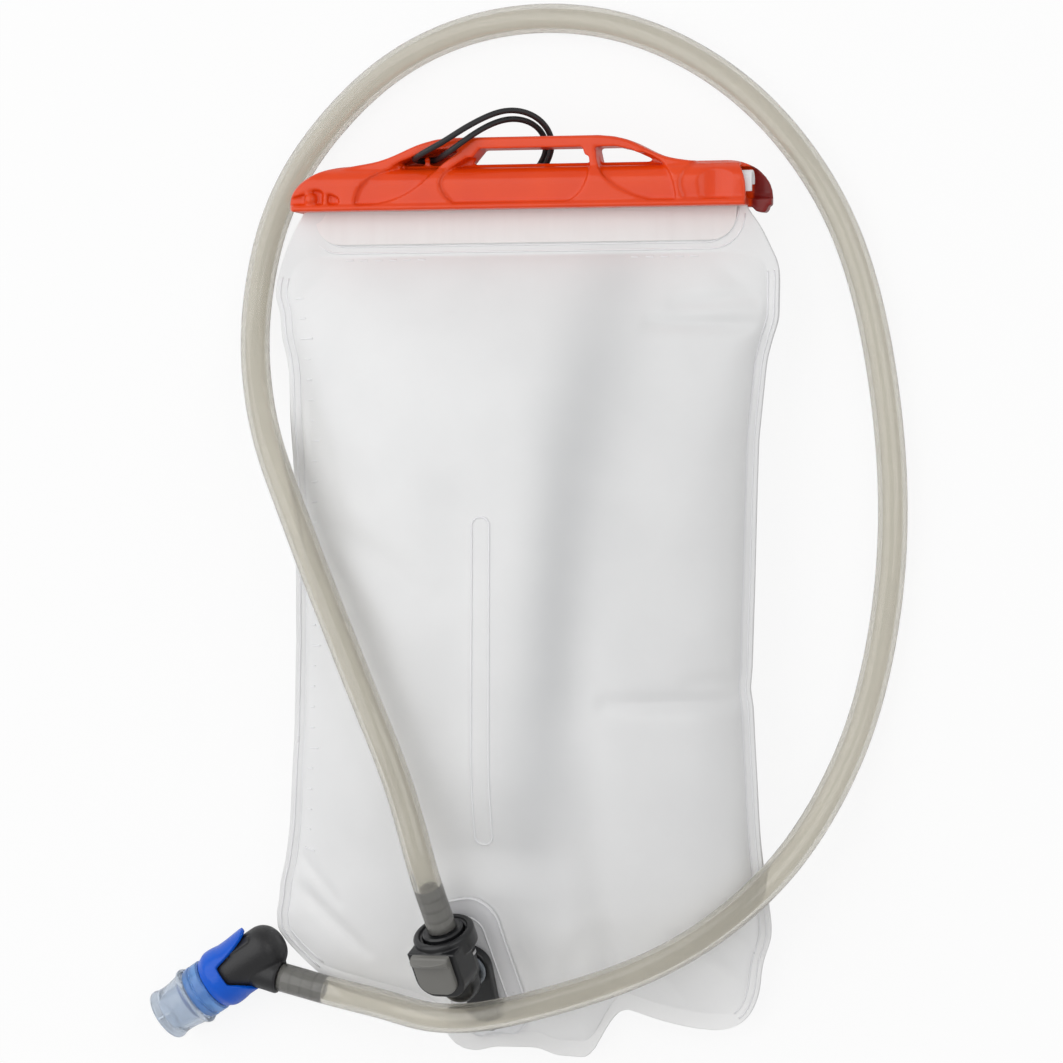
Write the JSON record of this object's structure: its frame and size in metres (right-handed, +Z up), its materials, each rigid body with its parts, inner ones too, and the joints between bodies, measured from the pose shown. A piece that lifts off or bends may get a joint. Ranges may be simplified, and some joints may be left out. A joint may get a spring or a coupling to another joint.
{
  "type": "hydration bladder",
  "caption": "Soft water reservoir with a slide closure across its top, a quick-release outlet, a drinking hose looped round it and a twist-to-open bite valve.",
  "frame": {"origin": "on the surface that the filled reservoir lies on, under the middle of the reservoir and closure", "axes": "+Y from the outlet to the slide closure, +Z up out of the front panel, +X to the right seen from the front"},
  "size_m": [0.2697, 0.3654, 0.0678],
  "materials": {
    "film": "milky satin film",
    "strip": "satin",
    "orange": "satin",
    "rubber": "matt",
    "black": "satin",
    "grey": "satin",
    "steel": "bright",
    "smoke": "gloss",
    "white": "satin",
    "hose": "clear gloss",
    "blue": "gloss",
    "clear_blue": "clear gloss",
    "clear_silicone": "clear satin"
  },
  "bodies": {
    "reservoir": {"front_panel": "film", "back_panel": "film", "baffle_web": "film", "mouth_strip_front": "strip", "mouth_strip_back": "strip", "folded_lip": "film", "tether_tab": "film", "tether": "rubber", "outlet_flange": "film", "outlet_socket": "black", "latch_spring": "steel", "poppet_spring": "steel", "drinking_hose": "hose", "valve_elbow": "black"},
    "closure": {"slide_closure": "orange"},
    "button": {"release_button": "grey", "latch_plate": "steel"},
    "plug": {"plug": "smoke", "plug_o_ring": "rubber"},
    "poppet": {"poppet": "white"},
    "valve_head": {"twist_collar": "blue", "valve_core": "clear_blue", "core_o_ring": "rubber", "bite_cap": "clear_silicone"}
  },
  "joints": [
    {"name": "closure_slide", "type": "slide", "parent": "reservoir", "child": "closure", "axis": [-1, 0, 0], "range_m": [0, 0.175], "deforming": ["tether"]},
    {"name": "button_press", "type": "slide", "parent": "reservoir", "child": "button", "axis": [0.6108, 0.4729, -0.6351], "range_m": [0, 0.002], "stiffness_N_per_m": 400, "springref_m": -0.004, "deforming": ["latch_spring"]},
    {"name": "plug_release", "type": "slide", "parent": "reservoir", "child": "plug", "axis": [-0.1612, 0.8596, 0.4849], "range_m": [0, 0.018], "deforming": ["drinking_hose"]},
    {"name": "poppet_lift", "type": "slide", "parent": "reservoir", "child": "poppet", "axis": [-0.1612, 0.8596, 0.4849], "range_m": [0, 0.003], "deforming": ["poppet_spring"]},
    {"name": "valve_twist", "type": "hinge", "parent": "reservoir", "child": "valve_head", "pos_m": [-0.105, -0.1304, 0.0127], "axis": [0.8328, 0.5491, 0.0698], "range_deg": [0, 90]}
  ],
  "couplings": [
    {"joint": "poppet_lift", "follows": "plug_release", "ratio": 0.16667}
  ]
}
